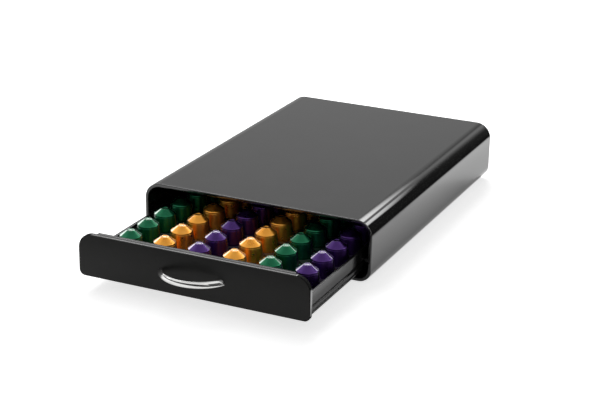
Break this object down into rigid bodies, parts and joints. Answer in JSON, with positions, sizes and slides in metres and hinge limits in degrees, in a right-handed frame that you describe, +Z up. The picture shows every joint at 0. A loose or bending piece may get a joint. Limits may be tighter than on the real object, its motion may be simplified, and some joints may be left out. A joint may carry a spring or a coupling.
{
  "type": "coffee capsule drawer",
  "caption": "Flat gloss-black casing with rounded corners and a drawer on side runners, a bowed bright handle, and coffee capsules standing in a socketed insert.",
  "frame": {"origin": "middle of the whole object's footprint with the drawer part way out, on the plane that the feet stand on", "axes": "+X to the right as seen from the front, +Y from the drawer's front towards the casing's back, +Z up"},
  "size_m": [0.284, 0.5702, 0.0735],
  "materials": {
    "casing_plastic": "gloss black moulding",
    "front_plastic": "satin-gloss black",
    "tray_plastic": "gloss black moulding",
    "inner_plastic": "fine-grained black moulding",
    "handle_metal": "polished plating",
    "screw_steel": "zinc-plated steel",
    "rubber": "matt",
    "capsule_green": "lacquered thin aluminium",
    "capsule_orange": "lacquered thin aluminium",
    "capsule_purple": "lacquered thin aluminium"
  },
  "bodies": {
    "casing_body": {"casing": "casing_plastic", "back_panel": "inner_plastic", "back_screws": "screw_steel", "left_runner": "inner_plastic", "right_runner": "inner_plastic", "runner_screws": "screw_steel", "foot_front_left": "rubber", "foot_back_left": "rubber", "foot_front_right": "rubber", "foot_back_right": "rubber", "left_stop": "inner_plastic", "right_stop": "inner_plastic", "stop_screws": "screw_steel", "left_bumper": "rubber", "right_bumper": "rubber"},
    "drawer": {"drawer_tray": "tray_plastic", "drawer_front": "front_plastic", "front_screws": "screw_steel", "handle": "handle_metal", "handle_screws": "screw_steel", "capsule_insert": "inner_plastic", "capsules_column_1": "capsule_green", "capsules_column_2": "capsule_orange", "capsules_column_3": "capsule_purple", "capsules_column_4": "capsule_orange", "capsules_column_5": "capsule_green", "capsules_column_6": "capsule_purple"}
  },
  "joints": [
    {"name": "drawer_slide", "type": "slide", "parent": "casing_body", "child": "drawer", "axis": [0, -1, 0], "range_m": [-0.1492, 0.1358]}
  ]
}
